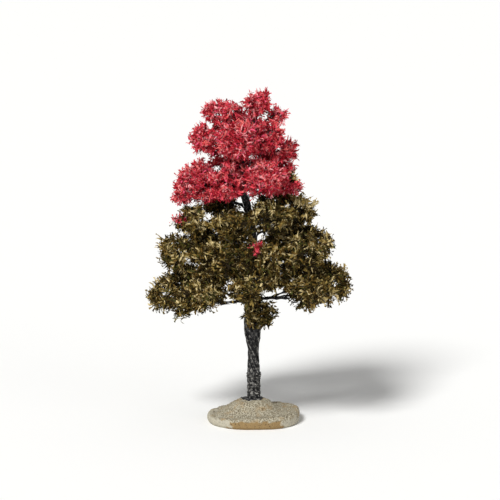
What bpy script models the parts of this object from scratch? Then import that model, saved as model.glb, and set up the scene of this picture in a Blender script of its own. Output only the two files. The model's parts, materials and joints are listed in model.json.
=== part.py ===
"""A model tree, 150 mm tall: a cast oval base, a trunk of black wires twisted
together, wire boughs that leave it in tiers, and masses of dyed shavings, olive
below and rose at the top.

The frame is metres with +Z up. The origin lies on the base's flat underside, under
the trunk, +X is the right-hand side of the tree and -Y is its front. Sizes below
are in millimetres and MM turns them into metres. Azimuths are in degrees, seen
from above: 0 is the right, 90 the back, 180 the left and 270 the front.
"""

import math

import bmesh
import bpy
from mathutils import Matrix, Vector, noise
from mathutils.bvhtree import BVHTree

MM = 0.001

CLEARANCE = 0.3        # left between two pieces that touch on the real tree
POCKET_DEPTH = 1.2     # how far a bough's end sits inside its mass

# Cast base: an oval with a low rim, higher on the right, and a mound at the trunk.
BASE_HALF_WIDTH = 20.8
BASE_HALF_DEPTH = 18.0
BASE_FORWARD = 1.4     # the trunk stands this far behind the middle of the base
BASE_WOBBLE = 0.035    # unevenness of the outline, as a share of its radius
BASE_WOBBLE_PITCH = 1.6
BASE_RIM = 4.5
BASE_RIM_LIFT_RIGHT = 1.0
BASE_RIM_LIFT_BACK = -0.3
BASE_MOUND = 10.0
BASE_MOUND_FLAT = 0.22   # shares of the way to the rim where the mound's slope starts
BASE_MOUND_SPREAD = 0.74  # and ends
BASE_MOUND_LEAN = 0.16    # the slope is longer on the left and shorter on the right
BASE_RING_SHARES = (0.82, 0.66, 0.50, 0.34, 0.20)
BASE_EDGE = 0.9        # the small bevel round the foot and the rim
BASE_SQUARENESS = 2.3  # 2 would be a plain ellipse
BASE_SEGMENTS = 28
SOCKET_DEPTH = 3.0

# Trunk: height, sideways place and radius at each change of shape, foot to tip.
TRUNK_STATIONS = (
    (10.5, -0.1, 0.0, 2.90),
    (15.0, -0.1, 0.0, 2.75),
    (20.5, -0.1, 0.0, 2.95),
    (24.5, -0.2, 0.0, 2.70),
    (29.5, -0.3, 0.0, 2.32),
    (33.5, -0.4, 0.0, 2.60),
    (37.5, -0.6, 0.0, 3.30),
    (41.5, -0.7, 0.0, 3.85),
    (46.0, -0.7, 0.0, 3.70),
    (54.0, -0.6, 0.2, 3.00),
    (66.0, -0.5, 0.4, 2.45),
    (80.0, -0.6, 0.3, 2.00),
    (91.0, -1.4, 0.0, 1.75),
    (97.0, -3.0, 0.0, 1.60),
    (103.0, -4.8, 0.2, 1.50),
    (113.0, -5.4, 0.4, 1.30),
    (123.0, -3.8, 0.2, 1.10),
    (132.0, -0.8, 0.0, 0.90),
    (139.5, 1.8, 0.0, 0.70),
)
TRUNK_SIDES = 10

# Foliage by tier. Each mass: side, azimuth and distance of its middle from the
# upright axis, height of its middle, its half length along the bough, half width,
# half height, how far its tip hangs (negative: rises), and the height at which its
# bough leaves the trunk, or None where it sits on the trunk or on its neighbours.
TIERS = (
    ("skirt", "olive", (
        ("left", 179, 34.5, 57.5, 13.0, 12.5, 9.0, 1.5, 54.0),
        ("left_front", 222, 30.5, 60.0, 12.0, 12.0, 7.5, 3.0, 55.0),
        ("front", 269, 26.0, 65.5, 10.0, 13.0, 7.0, 2.0, 57.0),
        ("right_front", 322, 31.0, 62.5, 12.0, 11.5, 8.5, 1.5, 56.0),
        ("right", 2, 31.0, 62.0, 11.5, 11.5, 9.5, 0.5, 55.0),
        ("right_back", 43, 32.5, 61.0, 12.5, 13.0, 9.0, 2.0, 53.5),
        ("back", 90, 31.0, 61.0, 12.5, 13.5, 9.0, 2.0, 55.0),
        ("left_back", 136, 32.5, 61.0, 12.5, 13.0, 9.0, 2.0, 53.0),
    )),
    ("fork", "olive", (
        ("tassel", 295, 6.5, 50.0, 6.5, 8.5, 8.0, 2.0, None),
    )),
    ("middle", "olive", (
        ("left", 178, 29.5, 73.5, 12.5, 11.0, 10.5, -2.0, 63.0),
        ("left_front", 225, 25.5, 75.0, 11.0, 12.0, 9.0, 1.0, 64.0),
        ("front", 277, 20.5, 76.5, 10.0, 13.0, 9.5, 1.0, 67.0),
        ("right_front", 323, 25.5, 76.5, 11.0, 11.0, 9.0, 1.0, 65.5),
        ("right", 5, 24.0, 79.5, 10.5, 10.0, 8.0, 0.0, 68.0),
        ("right_back", 50, 26.0, 77.0, 11.5, 13.0, 10.0, 1.0, 62.0),
        ("left_back", 125, 27.0, 77.0, 12.0, 14.0, 10.0, 1.0, 66.0),
    )),
    ("upper", "olive", (
        ("left", 180, 26.0, 90.0, 9.5, 9.5, 9.2, 1.5, 79.0),
        ("left_front", 238, 19.5, 90.0, 9.0, 10.5, 7.5, 0.0, 81.0),
        ("right_front", 298, 15.0, 93.0, 8.5, 10.5, 8.5, 0.0, None),
        ("right", 5, 19.5, 93.5, 8.5, 8.5, 7.5, -0.5, 84.0),
        ("right_back", 55, 19.0, 93.5, 9.5, 11.5, 9.5, 0.0, None),
        ("left_back", 128, 20.0, 93.0, 10.5, 12.0, 9.5, 0.0, None),
    )),
    ("rose_lower", "rose", (
        ("left", 180, 24.0, 106.8, 10.8, 10.0, 11.0, 4.0, 97.0),
        ("left_front", 228, 17.0, 109.0, 8.0, 8.5, 9.5, 2.0, None),
        ("right_front", 288, 11.5, 110.5, 7.5, 10.5, 9.5, 1.0, None),
        ("right", 5, 12.0, 108.5, 8.8, 8.0, 8.5, 2.5, 101.0),
        ("right_back", 60, 13.5, 109.0, 8.5, 10.5, 9.5, 0.0, None),
        ("left_back", 130, 18.0, 109.0, 9.5, 11.0, 9.5, 0.0, 100.0),
    )),
    ("rose_middle", "rose", (
        ("left", 178, 18.6, 125.5, 9.0, 9.0, 8.5, -0.5, None),
        ("front", 237, 12.0, 127.0, 9.0, 10.5, 11.0, 0.0, None),
        ("right_front", 325, 8.0, 128.5, 7.0, 7.0, 9.0, 0.0, None),
        ("right", 15, 10.5, 119.0, 8.5, 8.5, 7.0, -1.5, None),
        ("back", 112, 10.5, 126.0, 9.5, 12.0, 11.0, 0.0, None),
    )),
    ("rose_top", "rose", (
        ("left", 180, 12.3, 137.3, 9.8, 8.5, 7.0, 0.0, None),
        ("tip", 330, 2.0, 141.5, 6.0, 6.5, 7.5, 0.0, None),
        ("right", 355, 9.0, 137.0, 5.5, 5.5, 3.5, -1.0, None),
    )),
)

# Single points that a mass pushes out past its egg: azimuth, pitch above level and
# length as a share of the radius there.
SPURS = {
    "skirt_left": ((172, 40, 0.15), (188, -15, 0.10)),
    "skirt_left_front": ((205, -45, 0.30),),
    "skirt_front": ((250, -50, 0.25),),
    "skirt_right_front": ((285, -45, 0.25),),
    "skirt_right": ((0, 50, 0.20), (350, -35, 0.20)),
    "middle_left": ((180, 10, 0.10),),
    "middle_right": ((0, 0, 0.12),),
    "upper_left": ((190, 60, 0.15),),
    "upper_right": ((355, 60, 0.15),),
    "rose_lower_left": ((180, -40, 0.30),),
    "rose_lower_right": ((0, -30, 0.22),),
    "rose_middle_left": ((178, 15, 0.20),),
    "rose_middle_right": ((0, 55, 0.30),),
    "rose_top_left": ((182, 25, 0.12), (60, 60, 0.15)),
    "rose_top_right": ((0, 0, 0.20),),
}
SPUR_SHARPNESS = 9.0

MASS_SEGMENTS = 10
MASS_RINGS = 8
LUMP_HEIGHT = 0.17     # broad lumps of a mass, as a share of its radius
LUMP_PITCH = 1.7
KNOB_HEIGHT = 0.08     # smaller knobs on them
KNOB_PITCH = 3.9
UNDERSIDE = 0.82       # masses are a little flatter below
SEED_STEP = Vector((3.7, 1.3, -2.1))  # moves each mass to its own patch of unevenness

BOUGH_ROOT_RADIUS = 1.05
BOUGH_TIP_RADIUS = 0.60
BOUGH_SAG = 0.03       # bow of a bough below its straight line, as a share of its length
BOUGH_AIM_LOW = 0.25   # a bough aims this share of the half height below the middle
BOUGH_SIDES = 6
BOUGH_STEPS = 4

# Openings that run through the crown from front to back: sideways place, height at
# the trunk, half width, half height. They line up when seen from SIGHT_POINT.
OPENINGS = (
    (-6.4, 97.2, 2.8, 3.6),
    (-19.7, 91.7, 2.9, 2.2),
    (-25.6, 70.6, 3.4, 2.0),
    (7.0, 56.4, 5.3, 3.0),
    (-16.4, 113.2, 2.9, 1.7),
    (-19.3, 132.0, 2.0, 1.8),
)
SIGHT_POINT = (-1.8, -1081.6, 277.7)
OPENING_REACH = 60.0
OPENING_SIDES = 12

SMOOTH_ANGLE = 40.0    # edges sharper than this stay sharp in the shading

COLOURS = {
    "base": ((0.46, 0.41, 0.31, 1.0), 0.9),
    "wire": ((0.012, 0.012, 0.014, 1.0), 0.45),
    "olive": ((0.13, 0.10, 0.03, 1.0), 0.8),
    "rose": ((0.48, 0.06, 0.10, 1.0), 0.7),
}


def clear_scene():
    for obj in list(bpy.data.objects):
        bpy.data.objects.remove(obj, do_unlink=True)


def finish(obj, material_name, colour_name):
    """Gives an object its own material and smooth shading."""
    colour, roughness = COLOURS[colour_name]
    material = bpy.data.materials.new(material_name)
    material.use_nodes = True
    shader = material.node_tree.nodes["Principled BSDF"]
    shader.inputs["Base Color"].default_value = colour
    shader.inputs["Roughness"].default_value = roughness
    shader.inputs["Metallic"].default_value = 0.0
    obj.data.materials.clear()
    obj.data.materials.append(material)
    obj.data.shade_smooth()
    obj.data.set_sharp_from_angle(angle=math.radians(SMOOTH_ANGLE))


def object_from(bm, name):
    """Turns a bmesh drawn in millimetres into an object in metres."""
    bmesh.ops.scale(bm, vec=(MM, MM, MM), verts=bm.verts)
    bmesh.ops.recalc_face_normals(bm, faces=bm.faces)
    mesh = bpy.data.meshes.new(name)
    bm.to_mesh(mesh)
    bm.free()
    obj = bpy.data.objects.new(name, mesh)
    bpy.context.collection.objects.link(obj)
    return obj


def smooth_step(value):
    value = min(1.0, max(0.0, value))
    return value * value * (3.0 - 2.0 * value)


def heading(azimuth, pitch):
    """A unit vector from an azimuth and a pitch above level, in degrees."""
    azimuth, pitch = math.radians(azimuth), math.radians(pitch)
    level = math.cos(pitch)
    return Vector((level * math.cos(azimuth), level * math.sin(azimuth), math.sin(pitch)))


def bridge_rings(bm, rings):
    """Joins rings of vertices into one skin and closes both ends."""
    for lower, upper in zip(rings, rings[1:]):
        edges = [edge for ring in (lower, upper) for edge in ring_edges(bm, ring)]
        bmesh.ops.bridge_loops(bm, edges=edges)
    bm.faces.new(reversed(rings[0]))
    bm.faces.new(rings[-1])


def ring_edges(bm, ring):
    pairs = zip(ring, ring[1:] + ring[:1])
    return [bm.edges.get(pair) or bm.edges.new(pair) for pair in pairs]


def tube(name, points, radii, sides):
    """A closed round limb through the points, in millimetres."""
    bm = bmesh.new()
    rings = []
    count = len(points)
    for index, (point, radius) in enumerate(zip(points, radii)):
        ahead = points[min(index + 1, count - 1)] - points[max(index - 1, 0)]
        turn = Vector((0.0, 0.0, 1.0)).rotation_difference(ahead.normalized())
        ring = []
        for side in range(sides):
            angle = 2.0 * math.pi * side / sides
            spoke = Vector((math.cos(angle), math.sin(angle), 0.0)) * radius
            ring.append(bm.verts.new(point + turn @ spoke))
        rings.append(ring)
    bridge_rings(bm, rings)
    return object_from(bm, name)


def base_rim_radius(angle):
    across = abs(math.cos(angle) / BASE_HALF_WIDTH) ** BASE_SQUARENESS
    along = abs(math.sin(angle) / BASE_HALF_DEPTH) ** BASE_SQUARENESS
    oval = (across + along) ** (-1.0 / BASE_SQUARENESS)
    wave = noise.noise(heading(math.degrees(angle), 0.0) * BASE_WOBBLE_PITCH)
    return oval * (1.0 + BASE_WOBBLE * wave)


def base_surface(angle, share):
    """Height of the base's top, at a share of the way from the trunk to the rim."""
    rim = BASE_RIM + BASE_RIM_LIFT_RIGHT * math.cos(angle) + BASE_RIM_LIFT_BACK * math.sin(angle)
    spread = BASE_MOUND_SPREAD - BASE_MOUND_LEAN * math.cos(angle)
    slope = (share - BASE_MOUND_FLAT) / (spread - BASE_MOUND_FLAT)
    rise = 1.0 - smooth_step(slope)
    return rim + (BASE_MOUND - rim) * rise


def build_base():
    bm = bmesh.new()
    angles = [2.0 * math.pi * step / BASE_SEGMENTS for step in range(BASE_SEGMENTS)]
    shoulder = 1.0 - BASE_EDGE / BASE_HALF_WIDTH

    def ring(share, height_at):
        return [
            bm.verts.new((
                base_rim_radius(angle) * share * math.cos(angle),
                base_rim_radius(angle) * share * math.sin(angle),
                height_at(angle),
            ))
            for angle in angles
        ]

    rings = [
        ring(shoulder, lambda angle: 0.0),
        ring(1.0, lambda angle: BASE_EDGE),
        ring(1.0, lambda angle: base_surface(angle, 1.0) - BASE_EDGE),
        ring(shoulder, lambda angle: base_surface(angle, 1.0)),
    ]
    for share in BASE_RING_SHARES:
        rings.append(ring(share, lambda angle: base_surface(angle, share)))
    bridge_rings(bm, rings)
    bmesh.ops.translate(bm, vec=(0.0, -BASE_FORWARD, 0.0), verts=bm.verts)
    return object_from(bm, "base")


def trunk_points(extra):
    """The trunk's path and radii, swollen by extra for a cutter."""
    foot = TRUNK_STATIONS[0]
    bottom = BASE_MOUND - SOCKET_DEPTH - extra
    stations = [(bottom, foot[1], foot[2], foot[3])] + list(TRUNK_STATIONS)
    top = stations[-1]
    stations[-1] = (top[0] + extra, top[1], top[2], top[3])
    points = [Vector((x, y, height)) for height, x, y, _ in stations]
    radii = [radius + extra for *_, radius in stations]
    return points, radii


def trunk_axis(height):
    """The middle of the trunk at a height."""
    for low, high in zip(TRUNK_STATIONS, TRUNK_STATIONS[1:]):
        if low[0] <= height <= high[0]:
            share = (height - low[0]) / (high[0] - low[0])
            return Vector((
                low[1] + (high[1] - low[1]) * share,
                low[2] + (high[2] - low[2]) * share,
                height,
            ))
    raise ValueError("height is off the trunk")


class Mass:
    """One clump of foliage: an uneven egg whose long axis points away from the trunk."""

    def __init__(self, tier, tint, row, seed):
        side, azimuth, reach, height, length, width, tall, droop, root = row
        self.name = f"{tier}_{side}"
        self.tint = tint
        self.seed = seed
        self.root = root
        self.droop = droop
        self.half = Vector((length, width, tall))
        angle = math.radians(azimuth)
        self.turn = Matrix.Rotation(angle, 3, "Z")
        self.spurs = [
            (self.turn.transposed() @ heading(*spur[:2]), spur[2])
            for spur in SPURS.get(self.name, ())
        ]
        self.centre = Vector((reach * math.cos(angle), reach * math.sin(angle), height))

    def half_along(self, direction):
        """Half the length of the plain egg along a direction."""
        local = self.turn.transposed() @ direction
        return Vector(a * b for a, b in zip(local, self.half)).length

    def surface(self, direction):
        """The point of the uneven skin in a direction from the middle."""
        shift = SEED_STEP * self.seed
        lump = 1.0 + LUMP_HEIGHT * noise.noise(direction * LUMP_PITCH + shift)
        lump += KNOB_HEIGHT * noise.noise(direction * KNOB_PITCH + shift)
        for spur, stretch in self.spurs:
            lump += stretch * max(0.0, direction.dot(spur)) ** SPUR_SHARPNESS
        local = Vector(a * b * lump for a, b in zip(direction, self.half))
        if local.z < 0.0:
            local.z *= UNDERSIDE
        outward = local.x / self.half.x
        local.z -= self.droop * max(0.0, outward) ** 2
        return self.centre + self.turn @ local

    def build(self, neighbours):
        bm = bmesh.new()
        pole_outward = Matrix.Rotation(math.pi / 2.0, 4, "Y")
        bmesh.ops.create_uvsphere(
            bm, u_segments=MASS_SEGMENTS, v_segments=MASS_RINGS, radius=1.0, matrix=pole_outward
        )
        for vertex in bm.verts:
            vertex.co = self.surface(vertex.co.normalized())
        for other in neighbours:
            self.trim(bm, other)
        return object_from(bm, self.name)

    def trim(self, bm, other):
        """Cuts the mass off flat where it would run into its neighbour."""
        across = other.centre - self.centre
        apart = across.length
        across.normalize()
        mine = self.half_along(across)
        theirs = other.half_along(across)
        if apart > (mine + theirs) * (1.0 + LUMP_HEIGHT + KNOB_HEIGHT):
            return
        meet = self.centre + across * (apart * mine / (mine + theirs) - CLEARANCE / 2.0)
        whole = bm.verts[:] + bm.edges[:] + bm.faces[:]
        cut = bmesh.ops.bisect_plane(
            bm, geom=whole, plane_co=meet, plane_no=across, clear_outer=True
        )
        edges = [item for item in cut["geom_cut"] if isinstance(item, bmesh.types.BMEdge)]
        if edges:
            bmesh.ops.contextual_create(bm, geom=edges)


def tree_of(obj):
    return BVHTree.FromPolygons(
        [vertex.co.copy() for vertex in obj.data.vertices],
        [tuple(face.vertices) for face in obj.data.polygons],
    )


def subtract(obj, cutter):
    """Cuts one object out of another, where they touch, and keeps the largest body."""
    if not tree_of(obj).overlap(tree_of(cutter)):
        return
    boolean = obj.modifiers.new("cut", "BOOLEAN")
    boolean.operation = "DIFFERENCE"
    boolean.solver = "EXACT"
    boolean.object = cutter
    graph = bpy.context.evaluated_depsgraph_get()
    mesh = bpy.data.meshes.new_from_object(obj.evaluated_get(graph))
    obj.modifiers.clear()
    obj.data = mesh
    keep_largest_body(obj)


def keep_largest_body(obj):
    bm = bmesh.new()
    bm.from_mesh(obj.data)
    left = set(bm.faces)
    bodies = []
    while left:
        body = set()
        edge_of_search = [left.pop()]
        while edge_of_search:
            face = edge_of_search.pop()
            body.add(face)
            for edge in face.edges:
                for next_face in edge.link_faces:
                    if next_face in left:
                        left.remove(next_face)
                        edge_of_search.append(next_face)
        bodies.append(body)
    bodies.sort(key=lambda body: sum(face.calc_area() for face in body))
    for body in bodies[:-1]:
        bmesh.ops.delete(bm, geom=list(body), context="FACES")
    bm.to_mesh(obj.data)
    bm.free()


def entry_share(mass_tree, path):
    """How far along its path, from 0 to 1, a bough enters its mass."""
    steps = 200
    for step in range(steps):
        point = path(step / steps)
        place, normal, _, _ = mass_tree.find_nearest(point * MM)
        if (point * MM - place).dot(normal) < 0.0:
            return step / steps
    return 1.0


def bough_points(mass, mass_tree, extra):
    """The bough's path and radii from inside the trunk to just inside its mass."""
    start = trunk_axis(mass.root)
    target = mass.centre - Vector((0.0, 0.0, mass.half.z * BOUGH_AIM_LOW))
    length = (target - start).length

    def path(share):
        sag = Vector((0.0, 0.0, -BOUGH_SAG * length * math.sin(math.pi * share)))
        return start.lerp(target, share) + sag

    end = entry_share(mass_tree, path) + (POCKET_DEPTH + extra) / length
    shares = [end * step / BOUGH_STEPS for step in range(BOUGH_STEPS + 1)]
    taper = BOUGH_TIP_RADIUS - BOUGH_ROOT_RADIUS
    points = [path(share) for share in shares]
    radii = [BOUGH_ROOT_RADIUS + taper * share / end + extra for share in shares]
    return points, radii


def build_masses():
    masses = []
    for tier, tint, rows in TIERS:
        for row in rows:
            masses.append(Mass(tier, tint, row, len(masses) + 1))
    objects = {}
    for mass in masses:
        neighbours = [other for other in masses if other is not mass]
        objects[mass.name] = mass.build(neighbours)
    return masses, objects


def opening_cutter(x, height, half_width, half_height):
    """A long oval rod on the line of sight through one opening of the crown."""
    middle = Vector((x, 0.0, height))
    sight = (middle - Vector(SIGHT_POINT)).normalized()
    bm = bmesh.new()
    bmesh.ops.create_cone(
        bm, cap_ends=True, segments=OPENING_SIDES, radius1=1.0, radius2=1.0,
        depth=2.0 * OPENING_REACH
    )
    bmesh.ops.scale(bm, vec=(half_width, half_height, 1.0), verts=bm.verts)
    turn = sight.to_track_quat("Z", "Y").to_matrix()
    bmesh.ops.rotate(bm, cent=(0.0, 0.0, 0.0), matrix=turn, verts=bm.verts)
    bmesh.ops.translate(bm, vec=middle, verts=bm.verts)
    return object_from(bm, "opening_cutter")


def main():
    clear_scene()
    base = build_base()
    trunk = tube("trunk", *trunk_points(0.0), TRUNK_SIDES)
    trunk_cutter = tube("trunk_cutter", *trunk_points(CLEARANCE), TRUNK_SIDES)
    subtract(base, trunk_cutter)
    masses, foliage = build_masses()
    cutters = [trunk_cutter] + [opening_cutter(*row) for row in OPENINGS]
    for obj in foliage.values():
        for cutter in cutters:
            subtract(obj, cutter)
    boughs = []
    for mass in masses:
        if mass.root is None:
            continue
        mass_tree = tree_of(foliage[mass.name])
        bough = tube("bough_" + mass.name, *bough_points(mass, mass_tree, 0.0), BOUGH_SIDES)
        subtract(bough, trunk_cutter)
        boughs.append(bough)
        cutter = tube(
            "bough_cutter", *bough_points(mass, mass_tree, CLEARANCE), BOUGH_SIDES
        )
        cutters.append(cutter)
        for obj in foliage.values():
            subtract(obj, cutter)
    for cutter in cutters:
        bpy.data.objects.remove(cutter, do_unlink=True)

    finish(base, "cast_resin", "base")
    for limb in [trunk] + boughs:
        finish(limb, "black_wire_" + limb.name, "wire")
    for mass in masses:
        finish(foliage[mass.name], "shavings_" + mass.name, mass.tint)


main()
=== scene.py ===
import json
import math

import bmesh
import bpy
import numpy as np
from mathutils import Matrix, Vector, noise
from mathutils.bvhtree import BVHTree

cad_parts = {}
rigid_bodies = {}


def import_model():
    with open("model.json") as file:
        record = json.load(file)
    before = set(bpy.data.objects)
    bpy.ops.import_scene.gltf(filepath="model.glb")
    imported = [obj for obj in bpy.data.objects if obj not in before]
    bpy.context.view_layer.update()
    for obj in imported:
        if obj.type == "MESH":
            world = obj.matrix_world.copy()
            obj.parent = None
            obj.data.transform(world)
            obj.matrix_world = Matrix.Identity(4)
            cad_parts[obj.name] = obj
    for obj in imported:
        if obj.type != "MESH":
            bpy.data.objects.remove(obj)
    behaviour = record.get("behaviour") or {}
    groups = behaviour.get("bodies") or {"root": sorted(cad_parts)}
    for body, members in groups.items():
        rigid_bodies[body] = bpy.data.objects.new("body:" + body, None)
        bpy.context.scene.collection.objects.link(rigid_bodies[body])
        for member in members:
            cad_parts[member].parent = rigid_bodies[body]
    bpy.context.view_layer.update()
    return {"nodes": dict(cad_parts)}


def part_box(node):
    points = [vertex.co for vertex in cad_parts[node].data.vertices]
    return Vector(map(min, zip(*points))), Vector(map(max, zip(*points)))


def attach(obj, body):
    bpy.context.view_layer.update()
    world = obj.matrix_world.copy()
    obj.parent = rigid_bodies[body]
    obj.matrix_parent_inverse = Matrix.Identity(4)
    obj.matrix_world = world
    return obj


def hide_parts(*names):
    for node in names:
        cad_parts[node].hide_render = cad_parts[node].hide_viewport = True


# A model tree for a display village: black wires twisted into a trunk, wire boughs,
# dyed wood shavings, olive below and rose at the top, and a small cast base.
# The frame is metres, +X right, -Y front, +Z up. Sizes in the dictionaries are
# millimetres unless a note says otherwise, and mm turns them into metres.

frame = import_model()
cadNodes = frame["nodes"]
mm = 0.001
solidMerge = 1e-7  # metres: corners of a solid's triangles that are the same corner
meshMerge = 1e-6  # metres: the same for meshes made from curves and modifiers
dice = np.random.default_rng(4107)
scene = bpy.context.scene
print("frame loaded:", len(cadNodes), "nodes")


def linear(hexColour):
    # sRGB hex to the linear colour that a shader socket wants
    channels = [int(hexColour[i:i + 2], 16) / 255 for i in (1, 3, 5)]
    return tuple(c / 12.92 if c <= 0.04045 else ((c + 0.055) / 1.055) ** 2.4 for c in channels) + (1.0,)


def addNode(tree, kind, settings=None, links=None):
    # a setting is an input socket if the node has one of that name or number, else a property
    node = tree.nodes.new("ShaderNode" + kind)
    for key, value in (settings or {}).items():
        if isinstance(key, int) or key in node.inputs:
            node.inputs[key].default_value = value
        else:
            setattr(node, key, value)
    for socket, source in (links or {}).items():
        tree.links.new(source, node.inputs[socket])
    return node


def newMaterial(name, settings):
    # a material, its node tree and its shader, with the shader's plain values set
    material = bpy.data.materials.new(name)
    material.use_nodes = True
    shader = material.node_tree.nodes["Principled BSDF"]
    for key, value in settings.items():
        shader.inputs[key].default_value = value
    return material, material.node_tree, shader


def finishPiece(piece, material, replaced=(), smooth=True):
    piece.data.materials.clear()
    piece.data.materials.append(material)
    for face in piece.data.polygons:
        face.use_smooth = smooth
    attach(piece, "root")
    if replaced:
        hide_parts(*replaced)
    print(piece.name, len(piece.data.polygons), "faces")


def newObject(name, data):
    piece = bpy.data.objects.new(name, data)
    scene.collection.objects.link(piece)
    return piece


def objectFrom(bm, name):
    mesh = bpy.data.meshes.new(name)
    bm.to_mesh(mesh)
    bm.free()
    return newObject(name, mesh)


def meshFromModifiers(name, holder):
    # the mesh that an object's modifiers or curve settings make, with its doubles merged
    depsgraph = bpy.context.evaluated_depsgraph_get()
    mesh = bpy.data.meshes.new_from_object(holder.evaluated_get(depsgraph))
    bpy.data.batch_remove([holder, holder.data])
    bm = bmesh.new()
    bm.from_mesh(mesh)
    bmesh.ops.remove_doubles(bm, verts=bm.verts[:], dist=meshMerge)
    bmesh.ops.recalc_face_normals(bm, faces=bm.faces[:])
    bm.to_mesh(mesh)
    bm.free()
    mesh.name = name
    return newObject(name, mesh)


def wirePiece(name, wires, roundness):
    # one piece from many wires; a wire is a list of (place, radius), all in metres
    curve = bpy.data.curves.new(name, "CURVE")
    curve.dimensions = "3D"
    curve.bevel_depth = mm
    curve.bevel_resolution = roundness
    curve.use_fill_caps = True
    for wire in wires:
        spline = curve.splines.new("POLY")
        spline.points.add(len(wire) - 1)
        for point, (place, radius) in zip(spline.points, wire):
            point.co = (*place, 1.0)
            point.radius = radius / mm
    return meshFromModifiers(name, newObject(name, curve))


def mergedCopy(nodeName):
    bm = bmesh.new()
    bm.from_mesh(cadNodes[nodeName].data)
    bmesh.ops.remove_doubles(bm, verts=bm.verts[:], dist=solidMerge)
    return bm


def ringAt(solid, place, direction):
    # middle and radius of the section through a solid, or None past its ends
    cut = solid.copy()
    found = bmesh.ops.bisect_plane(
        cut, geom=cut.verts[:] + cut.edges[:] + cut.faces[:],
        plane_co=place, plane_no=direction, dist=solidMerge)
    ring = [v.co.copy() for v in found["geom_cut"] if isinstance(v, bmesh.types.BMVert)]
    cut.free()
    if len(ring) < 3:
        return None
    middle = sum(ring, Vector()) / len(ring)
    return middle, sum((p - middle).length for p in ring) / len(ring)


# where the camera stands; aim and distance in metres
viewFrom = {
    "aim": (-0.0018, 0.0, 0.0772),
    "distance": 1.10,
    "elevation": 10.5,  # degrees above level
    "lens": 179.0,  # on the usual sensor, 36 wide
}

elevation = math.radians(viewFrom["elevation"])
aim = Vector(viewFrom["aim"])
eye = aim + Vector((0.0, -math.cos(elevation), math.sin(elevation))) * viewFrom["distance"]
camera = newObject("camera", bpy.data.cameras.new("camera"))
camera.data.lens = viewFrom["lens"]
camera.data.clip_start = 0.01
camera.location = eye
camera.rotation_euler = (aim - eye).to_track_quat("-Z", "Y").to_euler()
scene.camera = camera
scene.view_settings.view_transform = "Standard"

studio = {
    "sky": 0.32,  # strength of the white surround
    "keyStrength": 3.0,
    "keySoftness": 18.0,  # degrees across, as a big softbox looks from the tree
    "keyPlace": (-0.45, -0.75, 0.95),
    "fillStrength": 0.55,
    "fillSoftness": 50.0,
    "fillPlace": (0.8, -0.7, 0.35),
    "floorColour": "#fdfdfb",
    "floorHalf": 3.0,  # metres from its middle to its edge
    "floorDrop": 0.05,  # how far it lies under the base
}

world = bpy.data.worlds.new("studio surround")
world.use_nodes = True
background = world.node_tree.nodes["Background"]
background.inputs["Color"].default_value = (1.0, 1.0, 1.0, 1.0)
background.inputs["Strength"].default_value = studio["sky"]
scene.world = world

for lightName in ("key", "fill"):
    light = newObject(lightName, bpy.data.lights.new(lightName, "SUN"))
    light.data.energy = studio[lightName + "Strength"]
    light.data.angle = math.radians(studio[lightName + "Softness"])
    light.location = studio[lightName + "Place"]
    light.rotation_euler = (aim - light.location).to_track_quat("-Z", "Y").to_euler()

bm = bmesh.new()
bmesh.ops.create_grid(bm, x_segments=1, y_segments=1, size=studio["floorHalf"])
bmesh.ops.translate(bm, verts=bm.verts[:], vec=(0.0, 0.0, -studio["floorDrop"] * mm))
floor = objectFrom(bm, "floor")
# plain matt paper: nothing but white and the tree's soft shadow
floorMaterial, _, _ = newMaterial("matte white paper sweep", {
    "Base Color": linear(studio["floorColour"]), "Roughness": 0.9, "Specular IOR Level": 0.1})
floor.data.materials.append(floorMaterial)
print("camera, lights and floor placed")


# the cast base
baseLook = {
    "voxel": 0.32,  # step of the remeshed cast skin
    "smoothTurns": 3,
    "smoothAbove": 0.3,  # the underside below this height stays as it is
    "flatBelow": 0.25,  # and isn't roughened below this
    "gritHeight": 0.20,
    "gritSize": 0.75,
    "fineGrit": 0.45,  # size of the finer grit against the coarse
    "wallGrit": 0.35,  # height of the grit on the walls against the top
    "lumpHeight": 0.35,
    "lumpSize": 3.4,
    "pitDepth": 0.8,
    # across, back and radius of each pit in the top
    "pits": ((-8.9, -7.0, 1.1), (-16.6, -9.5, 1.2), (12.4, -4.5, 0.9), (19.0, -2.0, 0.8), (4.0, -9.5, 0.8)),
    "grain": 0.55,  # sand grains, drawn about twice their size so that they show
    "blotch": 4.0,
    # the sand's colours, and where in its pattern each is reached
    "top": (("#6a614e", 0.36), ("#948b75", 0.47), ("#c2bca9", 0.68)),
    "stain": "#9b7f55",
    "ochre": "#ac9166",
    "cream": "#d6d1c0",
    "wallTop": 3.6,
    "wallBlend": 0.35,
    "ochreMiddle": 1.0,
    "ochreHalf": 11.5,
    "ochreBlend": 0.9,
    "wander": 2.5,  # size of the waves in the wash's edges
    "waveUp": 0.9,
    "waveAcross": 2.2,
    "poreStep": 0.85,
    "poreField": 3.2,  # size of the places with many pores
    # painted shade in the pinholes: its colour, and how far it darkens the sand
    "poreShadeColour": "#3b2d20",
    "poreShadeStrength": 0.80,
    "bump": 0.12,
}


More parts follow.
